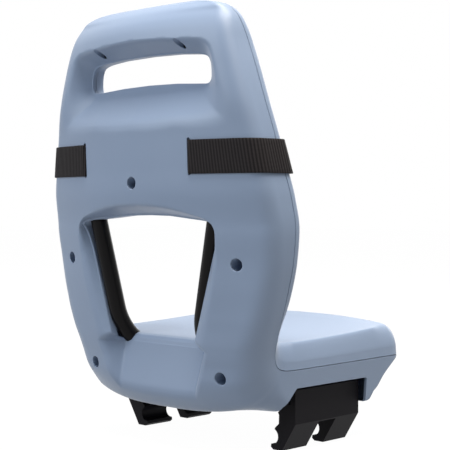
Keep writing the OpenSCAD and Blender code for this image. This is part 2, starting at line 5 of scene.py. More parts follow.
import bpy
import bmesh
import numpy as np
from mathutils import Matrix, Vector


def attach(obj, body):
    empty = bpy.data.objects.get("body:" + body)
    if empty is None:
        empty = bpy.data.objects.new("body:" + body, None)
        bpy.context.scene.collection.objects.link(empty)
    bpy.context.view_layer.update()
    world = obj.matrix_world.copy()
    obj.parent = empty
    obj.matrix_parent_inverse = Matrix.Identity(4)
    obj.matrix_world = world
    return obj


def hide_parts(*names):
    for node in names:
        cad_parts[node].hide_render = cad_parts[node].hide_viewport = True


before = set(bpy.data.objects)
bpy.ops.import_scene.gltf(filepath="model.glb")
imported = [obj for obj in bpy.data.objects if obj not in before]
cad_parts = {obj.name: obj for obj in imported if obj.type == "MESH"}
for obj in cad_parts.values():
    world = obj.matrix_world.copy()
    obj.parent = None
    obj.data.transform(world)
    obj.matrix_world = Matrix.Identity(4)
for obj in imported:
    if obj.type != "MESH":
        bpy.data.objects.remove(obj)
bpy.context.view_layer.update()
MM = 0.001

# ---------------------------------------------------------------- curves and fields


def pchip(x, y, xi):
    """Smooth curve through points without overshoot. y may have several columns."""
    x = np.asarray(x, float)
    y = np.asarray(y, float)
    if y.ndim == 1:
        return pchip(x, y[:, None], xi)[:, 0]
    xi = np.clip(np.asarray(xi, float), x[0], x[-1])
    h = np.diff(x)[:, None]
    d = np.diff(y, axis=0) / h
    m = np.zeros_like(y)
    m[0], m[-1] = d[0], d[-1]
    w1, w2 = 2 * h[1:] + h[:-1], h[1:] + 2 * h[:-1]
    same = d[:-1] * d[1:] > 0
    with np.errstate(divide="ignore", invalid="ignore"):
        mid = (w1 + w2) / (w1 / d[:-1] + w2 / d[1:])
    m[1:-1] = np.where(same, mid, 0)
    k = np.clip(np.searchsorted(x, xi, side="right") - 1, 0, len(x) - 2)
    hh = h[k]
    t = ((xi - x[k])[:, None]) / hh
    return (
        (1 + 2 * t) * (1 - t) ** 2 * y[k]
        + t * (1 - t) ** 2 * hh * m[k]
        + t * t * (3 - 2 * t) * y[k + 1]
        + t * t * (t - 1) * hh * m[k + 1]
    )


def smax(a, b, k):
    """Larger of two values with a soft change-over k wide."""
    h = np.clip(0.5 + 0.5 * (a - b) / k, 0, 1)
    return b + (a - b) * h + k * h * (1 - h)


def step(x, a, b):
    """Soft step from 0 at a to 1 at b."""
    t = np.clip((x - a) / (b - a), 0, 1)
    return t * t * (3 - 2 * t)


def round_outline(points, radii, n=7):
    """Outline with each corner replaced by an arc-like curve of the given reach."""
    out = []
    c = len(points)
    for i in range(c):
        p = np.array(points[i], float)
        r = radii[i]
        if r <= 0:
            out.append(p)
            continue
        a = np.array(points[i - 1], float)
        b = np.array(points[(i + 1) % c], float)
        da, db = a - p, b - p
        ra = min(r, np.linalg.norm(da) * 0.5)
        rb = min(r, np.linalg.norm(db) * 0.5)
        s, e = p + da / np.linalg.norm(da) * ra, p + db / np.linalg.norm(db) * rb
        for t in np.linspace(0, 1, n):
            out.append((1 - t) ** 2 * s + 2 * t * (1 - t) * p + t * t * e)
    return np.array(out)


def mirrored(half):
    """Full outline from its right half, which starts and ends at x = 0."""
    half = np.array(half, float)
    left = half[::-1].copy()
    left[:, 0] *= -1
    keep = left[:, 0] < -1e-6
    return np.vstack([half, left[keep]])


def signed_distance(poly, x, z):
    """Distance to an outline, negative inside it."""
    p = np.stack([x, z], 1)
    a = poly
    b = np.roll(poly, -1, axis=0)
    best = np.full(len(p), 1e9)
    inside = np.zeros(len(p), bool)
    for (ax, az), (bx, bz) in zip(a, b):
        ex, ez = bx - ax, bz - az
        wx, wz = p[:, 0] - ax, p[:, 1] - az
        t = np.clip((wx * ex + wz * ez) / max(ex * ex + ez * ez, 1e-12), 0, 1)
        dx, dz = wx - ex * t, wz - ez * t
        best = np.minimum(best, dx * dx + dz * dz)
        cross = ((az <= p[:, 1]) & (bz > p[:, 1])) | ((bz <= p[:, 1]) & (az > p[:, 1]))
        with np.errstate(divide="ignore", invalid="ignore"):
            xc = ax + (p[:, 1] - az) / (bz - az) * ex
        inside ^= cross & (p[:, 0] < xc)
    d = np.sqrt(best)
    return np.where(inside, -d, d)


# ---------------------------------------------------------------- shell shape

# Rows from the top of the back, down, and forward to the nose: parting Y, parting Z,
# angle, half width, depth at centre, crown, corner.
ROWS = np.array([
    [-103, 450.95, 180, 1, 1.2, 0.1, 0.3],
    [-103.5, 450.9, 180, 26, 2, 0.4, 0.5],
    [-103.5, 450, 180, 60, 6, 2, 1.5],
    [-103, 448, 180, 79, 11, 4, 3],
    [-102, 445, 180, 94, 16.5, 7.5, 5],
    [-100.8, 441, 180, 103, 22.5, 10.5, 7],
    [-99.5, 436, 180, 109, 28, 14, 9],
    [-98, 429, 180, 114, 34, 15.5, 11],
    [-96.5, 420, 180, 118, 39, 16, 12],
    [-94.5, 405, 180, 123, 43.5, 16, 13],
    [-93, 380, 180, 131.5, 46.5, 17, 14],
    [-91, 350, 180, 140.5, 49, 18.5, 14],
    [-87, 318, 180, 149, 51, 21, 14],
    [-82.5, 285, 180, 156.5, 54, 23, 14],
    [-77.5, 255, 180, 162.3, 57.4, 25, 14],
    [-74, 225, 180, 164.8, 56.8, 26, 15],
    [-74, 195, 180, 162.3, 53.4, 25, 16],
    [-74.6, 165, 180, 156, 49.6, 21.5, 17],
    [-75, 140, 180, 149, 45.5, 17.5, 18],
    [-74, 122, 180, 142.5, 44, 15, 19],
    [-72, 108, 180, 137.8, 44.5, 14.5, 22],
    [-69.5, 98, 190, 134.8, 44.6, 15.5, 24],
    [-65.5, 91, 207, 133.5, 49, 20, 24],
    [-61, 87.5, 225, 133.2, 53, 23, 24],
    [-57.5, 86.4, 236.8, 133.4, 55.7, 23, 24],
    [-54.5, 85.6, 245, 133.8, 50.5, 15, 22],
    [-46, 85, 262, 134.6, 45.6, 5, 14],
    [-34, 85, 270, 135, 45, 1, 6],
    [20, 85.2, 270, 135.4, 45.2, 0.5, 4],
    [82, 85.6, 270, 136, 45.6, 0.5, 4],
    [92, 85.7, 270, 136.2, 44, 8.5, 5],
    [106, 85.8, 270, 136.4, 31, 9.5, 5],
    [120, 85.9, 270, 136.4, 18.5, 9.5, 3],
    [128, 86, 270, 135, 11.5, 9, 0.5],
    [133, 86, 270, 120, 6.5, 4.8, 0.4],
    [136.6, 86, 270, 84, 3, 2, 0.3],
    [138.6, 86, 270, 30, 1.2, 0.8, 0.2],
    [138.8, 86, 270, 1, 0.6, 0.2, 0.1],
], float)

EDGE = np.stack([ROWS[:, 3], ROWS[:, 0], ROWS[:, 1]], 1)
CORE = np.stack([
    ROWS[:, 0] + ROWS[:, 4] * np.cos(np.radians(ROWS[:, 2])),
    ROWS[:, 1] + ROWS[:, 4] * np.sin(np.radians(ROWS[:, 2])),
], 1)
STEPS = np.maximum(np.linalg.norm(np.diff(EDGE, axis=0), axis=1),
                   np.linalg.norm(np.diff(CORE, axis=0), axis=1))
REACH = np.concatenate([[0], np.cumsum(STEPS)])
S_END = float(REACH[-1])
DENSE = np.linspace(0, REACH[-1], 1600)
TABLE = pchip(REACH, ROWS, DENSE)


def rows_at(s):
    """The rows' values at places along them."""
    return np.stack([np.interp(s, DENSE, TABLE[:, k]) for k in range(7)], 1)


def reach_at_z(z):
    """Place along the rows at a height of the back."""
    n = int(np.searchsorted(-ROWS[:, 1], -100))
    top = DENSE < REACH[n]
    return np.interp(-np.asarray(z, float), -TABLE[top, 1], DENSE[top])


# A section's side wall ends at Q1 and its rounded corner at Q2, from the parting edge at 0 to
# the centre at 1.
Q1, Q2 = 0.17, 0.34


def section(q, w, deep, crown, r, power):
    """Lateral place and depth of a section, q from 0 at the parting edge to 1 at the centre."""
    side = np.maximum(deep - crown, 0.05)
    draft = 0.07 * side
    wc = w - draft
    rr = np.minimum(r, side * 0.8)
    wi = wc - rr
    back = deep - crown * (wi / wc) ** power
    ax, ad = wc + draft * rr / side, side - rr
    t1 = np.clip(q / Q1, 0, 1)
    t2 = np.clip((q - Q1) / (Q2 - Q1), 0, 1)
    t3 = np.clip((q - Q2) / (1 - Q2), 0, 1)
    x1, d1 = w + (ax - w) * t1, ad * t1
    x2 = (1 - t2) ** 2 * ax + 2 * t2 * (1 - t2) * wc + t2 ** 2 * wi
    d2 = (1 - t2) ** 2 * ad + 2 * t2 * (1 - t2) * side + t2 ** 2 * back
    x3 = wi * (1 - t3)
    d3 = deep - crown * (x3 / wc) ** power
    x = np.where(q < Q1, x1, np.where(q < Q2, x2, x3))
    d = np.where(q < Q1, d1, np.where(q < Q2, d2, d3))
    return x, d


def rear_base(uv):
    """Plain outer face of the rear shell, before its recesses."""
    u, s = uv[:, 0], uv[:, 1]
    row = rows_at(s)
    q = 1 - np.abs(u)
    ang = np.radians(row[:, 2])
    power = 2 + step(row[:, 2], 188, 212) * (1 - step(row[:, 2], 240, 262))
    x, d = section(q, row[:, 3], row[:, 4], row[:, 5], row[:, 6], power)
    return np.stack([x * np.sign(u), row[:, 0] + np.cos(ang) * d, row[:, 1] + np.sin(ang) * d], 1)


# Outlines on the back: right halves as X and Z, with the reach of each corner's round.
SLOT = mirrored(round_outline(
    [[0, 399.5], [42, 398.6], [74, 396.2], [88.5, 392], [89.2, 366], [40, 369.2], [0, 370]],
    [0, 0, 8, 12, 9, 0, 0]))
OPENING = mirrored(round_outline(
    [[0, 237.6], [30, 237], [60, 234.2], [99.5, 231], [95.5, 216], [89.4, 200], [79.4, 168],
     [69.6, 136], [62, 112], [60, 104.8], [40, 105], [0, 105]],
    [0, 0, 0, 18, 6, 6, 6, 6, 5, 7, 0, 0]))
POCKET = mirrored(round_outline(
    [[0, 414], [55, 412], [99, 409.5], [110, 385], [119, 350], [124, 325], [60, 323.8],
     [0, 324.2]],
    [0, 10, 12, 20, 20, 14, 10, 0]))
BEVEL = mirrored(round_outline(
    [[0, 248], [40, 246.5], [72, 241], [103, 232], [104, 205], [92, 150], [80, 100], [0, 96]],
    [0, 12, 14, 22, 20, 20, 0, 0]))

# Screw wells: X, Z, Y of the face round them, depth and radius. The last two are over the slot.
WELLS = [[0, 270, -136.5, 16, 6.25], [123, 191, -112, 16, 6.25], [-123, 191, -112, 16, 6.25],
         [93.5, 79, -105, 16, 6.25], [-93.5, 79, -105, 16, 6.25], [60, 406, -126, 17, 4.2],
         [-60, 406, -126, 17, 4.2]]


def taper(ds, do):
    """0 at the inner outline, 1 at the outer one, and well above 1 outside it."""
    ds = np.maximum(ds, -3)
    t = np.maximum(ds, 0) / np.maximum(np.maximum(ds, 0) + do, 0.5)
    return np.clip(np.where(do < -0.98 * ds, 9, t), 0, 4)


def pocket_face(x, z):
    """Y of the slopes round the handle slot."""
    t = taper(signed_distance(SLOT, x, z), -signed_distance(POCKET, x, z))
    side = np.interp(np.abs(x), [0, 60, 105, 125], [1, 0.93, 0.66, 0.56])
    deep = np.interp(z, [322, 330, 385, 400, 414], [31, 32, 30, 28, 31]) * side
    return -110 - deep * t ** 0.94


def bevel_face(x, z):
    """Y of the bevel round the lower opening."""
    t = taper(signed_distance(OPENING, x, z), -signed_distance(BEVEL, x, z))
    return -108 - np.interp(z, [100, 150, 200, 240, 250], [9, 11, 13, 24, 27]) * t


def dish_face(x, z):
    """Y of the dished panel under the lower opening."""
    floor = -104 + (np.minimum(z, 104) - 52) * 14 / 52 - 1.9 * np.maximum(z - 104, 0)
    return floor - 1.1 * np.maximum(np.abs(x) - 56 - (np.minimum(z, 104) - 52) * 0.07, 0)


def pocket_zone(p):
    return (p[:, 2] > 300) & (p[:, 2] < 435) & (np.abs(p[:, 0]) < 150) & (p[:, 1] < -85)


def bevel_zone(p):
    return (p[:, 2] > 90) & (p[:, 2] < 262) & (np.abs(p[:, 0]) < 130) & (p[:, 1] < -85)


def dish_zone(p):
    return (p[:, 2] > 40) & (p[:, 2] < 128) & (np.abs(p[:, 0]) < 95) & (p[:, 1] < -70)


def rear_shape(p):
    """Outer face of the rear shell with its pocket, bevel and dished panel."""
    x, y, z = p[:, 0], p[:, 1].copy(), p[:, 2]
    near = pocket_zone(p)
    if near.any():
        soft = 3.5 + 1.5 * step(z[near], 372, 350)
        y[near] = smax(y[near], pocket_face(x[near], z[near]), soft)
    near = bevel_zone(p)
    if near.any():
        y[near] = smax(y[near], bevel_face(x[near], z[near]), 5)
    near = dish_zone(p)
    if near.any():
        y[near] = smax(y[near], dish_face(x[near], z[near]), 6)
    return np.stack([x, y, z], 1)


def crease(zone, face, offset):
    """Zero where a face meets the plain back, or the given distance in front of it."""
    def f(p):
        out = np.full(len(p), -50.0)
        near = zone(p)
        if near.any():
            out[near] = face(p[near, 0], p[near, 2]) - p[near, 1] - offset
        return out
    return f


# ---------------------------------------------------------------- sheets

FAR = 50.0        # value of a rule where it cuts nothing
BACK_Y = -60      # rules for the back cut only behind this Y
UNDER_Z = 60      # rules for the underside cut only below this Z
SNAP = 0.2        # a contour this near to an edge's end takes the end with it
CREASE_AT = (-3.5, 0, 3.5)  # lines of edges beside a crease


def outer_loop(rows):
    """Vertices round the rim of an uncut grid, in order."""
    return (rows[0] + [r[-1] for r in rows[1:]] + rows[-1][-2::-1]
            + [r[0] for r in rows[-2:0:-1]])


def parting_rim(bm, loop, toward, gap=0.3, r=0.45, depth=4):
    """Small round and return wall along the parting edge, so that the joint is a fine groove."""
    p = np.array([v.co for v in loop])
    tang = np.roll(p, -1, axis=0) - np.roll(p, 1, axis=0)
    inn = np.cross(tang, toward)
    inn /= np.maximum(np.linalg.norm(inn, axis=1), 1e-9)[:, None]
    side = np.abs(p[:, 0]) > 60
    if np.sum(inn[side, 0] * -np.sign(p[side, 0])) < 0:
        inn = -inn
    end = np.abs(p[:, 0]) < 40
    inn[end] = np.where(p[end, 2:3] > 300, (0, 0, -1.0), (0, -1.0, 0))
    last = loop
    for v, q in zip(loop, p + toward * (gap + r)):
        v.co = q
    for a in (30, 60, 90):
        c = math.radians(a)
        ring = p + toward * (gap + r * (1 - math.sin(c))) + inn * r * (1 - math.cos(c))
        new = [bm.verts.new(q) for q in ring]
        for i in range(len(loop)):
            j = (i + 1) % len(loop)
            bm.faces.new((last[i], last[j], new[j], new[i]))
        last = new
    ring = p + toward * gap + inn * depth
    new = [bm.verts.new(q) for q in ring]
    for i in range(len(loop)):
        j = (i + 1) % len(loop)
        bm.faces.new((last[i], last[j], new[j], new[i]))


class Sheet:
    """A grid over two parameters that can be cut along any contour and then shaped."""

    def __init__(self, us, vs, base):
        self.base = base
        self.bm = bmesh.new()
        nu = len(us)
        rows = [[self.bm.verts.new((u, v, 0)) for u in us] for v in vs]
        for j in range(len(vs) - 1):
            for i in range(nu - 1):
                self.bm.faces.new((rows[j][i], rows[j][i + 1], rows[j + 1][i + 1],
                                   rows[j + 1][i]))
        self.loops = {}
        self.outer = outer_loop(rows)

    def params(self):
        return np.array([v.co[:2] for v in self.bm.verts])

    def mark(self, rule):
        """Lays a line of edges along the rule's zero, so that a crease there is clean."""
        self.cut(None, rule)

    def cut(self, name, rule, until=None):
        """Cuts the sheet where the rule is zero, in rows before until, and drops what is below."""
        bm = self.bm

        def field(uv):
            value = rule(self.base(uv))
            return value if until is None else np.where(uv[:, 1] > until, FAR, value)

        bm.verts.index_update()
        verts = list(bm.verts)
        uv = self.params()
        val = field(uv)
        edges = list(bm.edges)
        ia = np.array([e.verts[0].index for e in edges])
        ib = np.array([e.verts[1].index for e in edges])
        hit = np.nonzero(val[ia] * val[ib] < 0)[0]
        if len(hit) == 0:
            if name is not None:
                drop = [f for f in bm.faces if all(val[v.index] < 0 for v in f.verts)]
                bmesh.ops.delete(bm, geom=drop, context="FACES")
            return
        a, b = uv[ia[hit]], uv[ib[hit]]
        fa, fb = val[ia[hit]], val[ib[hit]]
        lo, hi = np.zeros(len(hit)), np.ones(len(hit))
        flo, fhi = fa.copy(), fb.copy()
        for _ in range(7):
            t = lo + (hi - lo) * np.clip(flo / (flo - fhi), 0.05, 0.95)
            ft = field(a + (b - a) * t[:, None])
            left = ft * flo > 0
            lo, flo = np.where(left, t, lo), np.where(left, ft, flo)
            hi, fhi = np.where(left, hi, t), np.where(left, fhi, ft)
        t = lo + (hi - lo) * flo / (flo - fhi)
        snapped = {}
        for k, e in enumerate(hit):
            if t[k] < SNAP or t[k] > 1 - SNAP:
                end = ia[e] if t[k] < SNAP else ib[e]
                gap = min(t[k], 1 - t[k])
                if end not in snapped or gap < snapped[end][0]:
                    snapped[end] = (gap, a[k] + (b[k] - a[k]) * t[k])
        on = {}  # the contour's vertices, in a fixed order
        for index, (gap, place) in snapped.items():
            v = verts[index]
            v.co.x, v.co.y = place
            val[index] = 0
            on[v] = True
        for k, e in enumerate(hit):
            if val[ia[e]] == 0 or val[ib[e]] == 0:
                continue
            edge = edges[e]
            va = verts[ia[e]]
            place = a[k] + (b[k] - a[k]) * t[k]
            _, nv = bmesh.utils.edge_split(edge, va, float(t[k]))
            nv.co = (place[0], place[1], 0)
            on[nv] = True
        for f in dict.fromkeys(f for v in on for f in v.link_faces):
            ring = list(f.verts)
            marks = [i for i, v in enumerate(ring) if v in on]
            if len(marks) == 2 and (marks[1] - marks[0]) not in (1, len(ring) - 1):
                bmesh.utils.face_split(f, ring[marks[0]], ring[marks[1]])
        if name is None:
            return
        bm.verts.index_update()
        val = field(self.params())
        onset = {v.index for v in on}
        drop = []
        for f in bm.faces:
            inner = [val[v.index] for v in f.verts if v.index not in onset]
            if inner and sum(inner) < 0:
                drop.append(f)
            elif not inner:
                c = np.mean([v.co[:2] for v in f.verts], axis=0)
                if field(c[None, :])[0] < 0:
                    drop.append(f)
        bmesh.ops.delete(bm, geom=drop, context="FACES")
        self.loops[name] = chains(v for v in on if v.is_valid
                                  and any(e.is_boundary for e in v.link_edges))

    def shape(self, fn):
        """Puts the cut sheet in its place."""
        uv = self.params()
        p = fn(self.base(uv))
        for v, q in zip(self.bm.verts, p):
            v.co = q


def chains(verts):
    """Orders boundary vertices into open or closed chains."""
    todo = dict.fromkeys(verts)
    out = []
    while todo:
        v = next(iter(todo))
        chain = [v]
        del todo[v]
        for direction in (0, 1):
            while True:
                end = chain[-1] if direction == 0 else chain[0]
                nxt = None
                for e in end.link_edges:
                    o = e.other_vert(end)
                    if e.is_boundary and o in todo:
                        nxt = o
                        break
                if nxt is None:
                    break
                del todo[nxt]
                if direction == 0:
                    chain.append(nxt)
                else:
                    chain.insert(0, nxt)
        closed = len(chain) > 2 and any(
            e.is_boundary and e.other_vert(chain[-1]) is chain[0] for e in chain[-1].link_edges)
        if len(chain) > 1:
            out.append((chain, closed))
    return out


def rim(sheet, name, rings, cap=False):
    """Walls from the cut edges. rings gives, for the edge places, each following ring."""
    bm = sheet.bm
    for chain, closed in sheet.loops.get(name, []):
        p0 = np.array([v.co for v in chain])
        last = chain
        for ring in rings(p0):
            new = [bm.verts.new(q) for q in ring]
            n = len(chain)
            for i in range(n if closed else n - 1):
                j = (i + 1) % n
                try:
                    bm.faces.new((last[i], last[j], new[j], new[i]))
                except ValueError:
                    pass
            last = new
        if cap and closed:
            bm.faces.new(last)


def outward(field, p):
    """Unit direction in which the field falls, so towards the opening."""
    g = np.zeros_like(p)
    for k in (0, 2):
        q = p.copy()
        q[:, k] += 0.05
        r = p.copy()
        r[:, k] -= 0.05
        g[:, k] = field(q) - field(r)
    n = np.linalg.norm(g, axis=1)[:, None]
    return -g / np.maximum(n, 1e-9)


def to_object(bm, name, body, material, sharp=40, recalc=True):
    """Object in metres from a mesh in millimetres, riding on a body."""
    bmesh.ops.remove_doubles(bm, verts=bm.verts, dist=0.003)
    if recalc:
        bmesh.ops.recalc_face_normals(bm, faces=bm.faces)
    mesh = bpy.data.meshes.new(name)
    bm.to_mesh(mesh)
    bm.free()
    mesh.transform(((MM, 0, 0, 0), (0, MM, 0, 0), (0, 0, MM, 0), (0, 0, 0, 1)))
    for poly in mesh.polygons:
        poly.use_smooth = True
    mesh.set_sharp_from_angle(angle=math.radians(sharp))
    ob = bpy.data.objects.new(name, mesh)
    bpy.context.scene.collection.objects.link(ob)
    ob.data.materials.append(material)
    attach(ob, body)
    return ob


# ---------------------------------------------------------------- materials


def nodes_of(mat):
    mat.use_nodes = True
    tree = mat.node_tree
    return tree.nodes, tree.links, tree.nodes["Principled BSDF"]


def add(nodes, kind, **values):
    """New node with the given inputs and settings."""
    n = nodes.new(kind)
    for k, v in values.items():
        if k in n.inputs:
            n.inputs[k].default_value = v
        else:
            setattr(n, k, v)
    return n


def either(nodes, links, first, second):
    """Larger of two sockets."""
    node = add(nodes, "ShaderNodeMath", operation="MAXIMUM")
    links.new(first, node.inputs[0])
    links.new(second, node.inputs[1])
    return node.outputs[0]


def color_range(nodes, links, bsdf, value, low, high, span=(0, 1)):
    """Base colour between two colours, after a texture."""
    ramp = add(nodes, "ShaderNodeValToRGB")
    for k, color in enumerate((low, high)):
        ramp.color_ramp.elements[k].position = span[k]
        ramp.color_ramp.elements[k].color = (*color, 1)
    links.new(value, ramp.inputs["Fac"])
    links.new(ramp.outputs["Color"], bsdf.inputs["Base Color"])


def rough_range(nodes, links, bsdf, value, low, high):
    """Roughness between two values, after a texture."""
    gloss = add(nodes, "ShaderNodeMapRange")
    gloss.inputs["To Min"].default_value = low
    gloss.inputs["To Max"].default_value = high
    links.new(value, gloss.inputs["Value"])
    links.new(gloss.outputs["Result"], bsdf.inputs["Roughness"])


def relief(nodes, links, bsdf, height, strength, distance):
    """Bump from a texture."""
    bump = add(nodes, "ShaderNodeBump", Strength=strength, Distance=distance)
    links.new(height, bump.inputs["Height"])
    links.new(bump.outputs["Normal"], bsdf.inputs["Normal"])


def moulded(name, color, rough, grain, depth, spread, spec, sheen=0.0):
    """Moulded plastic: fine spark-eroded grain, a little colour drift and uneven gloss."""
    mat = bpy.data.materials.new(name)
    nodes, links, bsdf = nodes_of(mat)
    place = add(nodes, "ShaderNodeNewGeometry")
    fine = add(nodes, "ShaderNodeTexNoise", Scale=grain, Detail=3.0, Roughness=0.6)
    broad = add(nodes, "ShaderNodeTexNoise", Scale=9.0, Detail=2.0, Roughness=0.5)
    links.new(place.outputs["Position"], fine.inputs["Vector"])
    links.new(place.outputs["Position"], broad.inputs["Vector"])
    low = [c * (1 - spread) for c in color]
    high = [c * (1 + spread) for c in color]
    color_range(nodes, links, bsdf, broad.outputs["Fac"], low, high, (0.3, 0.7))
    rough_range(nodes, links, bsdf, fine.outputs["Fac"], rough - 0.05, rough + 0.05)
    relief(nodes, links, bsdf, fine.outputs["Fac"], depth, 0.0003)
    bsdf.inputs["Specular IOR Level"].default_value = spec
    if sheen:
        bsdf.inputs["Sheen Weight"].default_value = sheen
        bsdf.inputs["Sheen Roughness"].default_value = 0.35
    return mat


def metal(name, color, rough):
    """Bare metal with a fine grain drawn out along X."""
    mat = bpy.data.materials.new(name)
    nodes, links, bsdf = nodes_of(mat)
    place = add(nodes, "ShaderNodeNewGeometry")
    noise = add(nodes, "ShaderNodeTexNoise", Scale=900.0, Detail=3.0)
    stretch = add(nodes, "ShaderNodeMapping")
    stretch.inputs["Scale"].default_value = (0.05, 1, 1)
    links.new(place.outputs["Position"], stretch.inputs["Vector"])
    links.new(stretch.outputs["Vector"], noise.inputs["Vector"])
    color_range(nodes, links, bsdf, noise.outputs["Fac"], [c * 0.8 for c in color], color)
    rough_range(nodes, links, bsdf, noise.outputs["Fac"], rough - 0.06, rough + 0.1)
    relief(nodes, links, bsdf, noise.outputs["Fac"], 0.15, 0.0001)
    bsdf.inputs["Metallic"].default_value = 1.0
    return mat


def blended(nodes, links, first, second, share):
    """Mix of two values, with the given share of the second."""
    mix = add(nodes, "ShaderNodeMix", data_type="FLOAT")
    mix.inputs[0].default_value = share
    links.new(first, mix.inputs[2])
    links.new(second, mix.inputs[3])
    return mix.outputs[0]


def webbing_material():
    """Black polyester webbing. The ribs are in the mesh, their crests made paler by a painted
    highlight, and the yarns are in the bump."""
    mat = bpy.data.materials.new("webbing_black")
    nodes, links, bsdf = nodes_of(mat)
    uv = add(nodes, "ShaderNodeUVMap")
    yarn = add(nodes, "ShaderNodeTexWave", Scale=260.0, Distortion=1.5, Detail=2.0)
    yarn.bands_direction = "Y"
    fuzz = add(nodes, "ShaderNodeTexNoise", Scale=2200.0, Detail=2.0)
    # One band of this wave is one rib of the mesh.
    crest = add(nodes, "ShaderNodeTexWave", Scale=92.4, Distortion=0.0)
    for texture in (yarn, fuzz, crest):
        links.new(uv.outputs["UV"], texture.inputs["Vector"])
    weave = blended(nodes, links, yarn.outputs["Fac"], fuzz.outputs["Fac"], 0.35)
    # Paler colour on the rib crests is a painted highlight, blended over the yarn colour.
    weave_and_crest_highlight = blended(nodes, links, weave, crest.outputs["Fac"], 0.75)
    color_range(nodes, links, bsdf, weave_and_crest_highlight, (0.0015, 0.0012, 0.0015), (0.03, 0.027, 0.03))
    relief(nodes, links, bsdf, weave, 0.5, 0.0003)
    bsdf.inputs["Roughness"].default_value = 0.62
    bsdf.inputs["Specular IOR Level"].default_value = 0.08
    bsdf.inputs["Sheen Weight"].default_value = 0.03
    bsdf.inputs["Sheen Roughness"].default_value = 0.4
    return mat


# Name, colour, roughness, grain, its depth, colour drift, gloss and sheen.
SHELL = moulded("shell_blue", (0.205, 0.275, 0.405), 0.42, 2600.0, 0.16, 0.02, 0.38, 0.2)
TUBE = moulded("tube_black", (0.005, 0.0045, 0.005), 0.3, 900.0, 0.05, 0.05, 0.1)
CLAMP = moulded("clamp_black", (0.006, 0.0055, 0.0075), 0.5, 1800.0, 0.15, 0.08, 0.08)
BLACK = moulded("black_parts", (0.008, 0.008, 0.009), 0.42, 1700.0, 0.15, 0.08, 0.25)
STEEL = moulded("plate_black", (0.01, 0.01, 0.011), 0.35, 1400.0, 0.12, 0.08, 0.3)
ZINC = metal("zinc", (0.62, 0.63, 0.65), 0.36)
BRASS = metal("brass", (0.72, 0.58, 0.33), 0.34)
WEB = webbing_material()

# ---------------------------------------------------------------- rear shell

WELL_EDGE = 0.6
SLOT_EDGE, OPENING_EDGE = 1.2, 1.6
# Where the clamps pass: Y and Z of the bay, beyond BAY_X on each side.
BAY = [[-52, 20], [-52, 49], [-36, 66.5], [76, 66.5], [76, 20]]
BAY_X = 57
# Opening for the hand wheel in the underside: half width, Y of its middle and half length.
WINDOW = (8, 22, 22)
BOLTS, BOLT_R = ((-38, -41), (38, -41), (-38, 84), (38, 84)), 4.75
# Slots of the strap: X and Z of the middle, half width and half height.
STRAP_SLOT = (78, 295, 2, 18.2)


def field_hole(cx, cz, r):
    return lambda p: np.hypot(p[:, 0] - cx, p[:, 2] - cz) - r + 1000 * (p[:, 1] > BACK_Y)


def field_outline(poly, grow):
    """Negative inside an outline of the back, made wider by grow."""
    def f(p):
        d = signed_distance(poly, p[:, 0], p[:, 2]) - grow
        return np.where(p[:, 1] > BACK_Y, FAR, d)
    return f


def field_bay(p):
    d = signed_distance(np.array(BAY, float), p[:, 1], p[:, 2])
    return np.maximum(d, BAY_X - np.abs(p[:, 0]))


def field_window(p):
    half, middle, reach = WINDOW
    d = np.maximum(np.abs(p[:, 0]) - half, np.abs(p[:, 1] - middle) - reach)
    return np.where(p[:, 2] > UNDER_Z, FAR, d)


def field_bolts(p):
    d = np.full(len(p), FAR)
    for bx, by in BOLTS:
        d = np.minimum(d, np.hypot(p[:, 0] - bx, p[:, 1] - by) - BOLT_R)
    return np.where(p[:, 2] > UNDER_Z, FAR, d)


def field_strap(p):
    cx, cz, half, high = STRAP_SLOT
    d = np.maximum(np.abs(np.abs(p[:, 0]) - cx) - half, np.abs(p[:, 2] - cz) - high)
    return np.where(p[:, 1] > -80, FAR, d)


def spread(a, b, size):
    """Even places from a to b, about size apart."""
    n = max(2, int(round((b - a) / size)) + 1)
    return np.linspace(a, b, n)


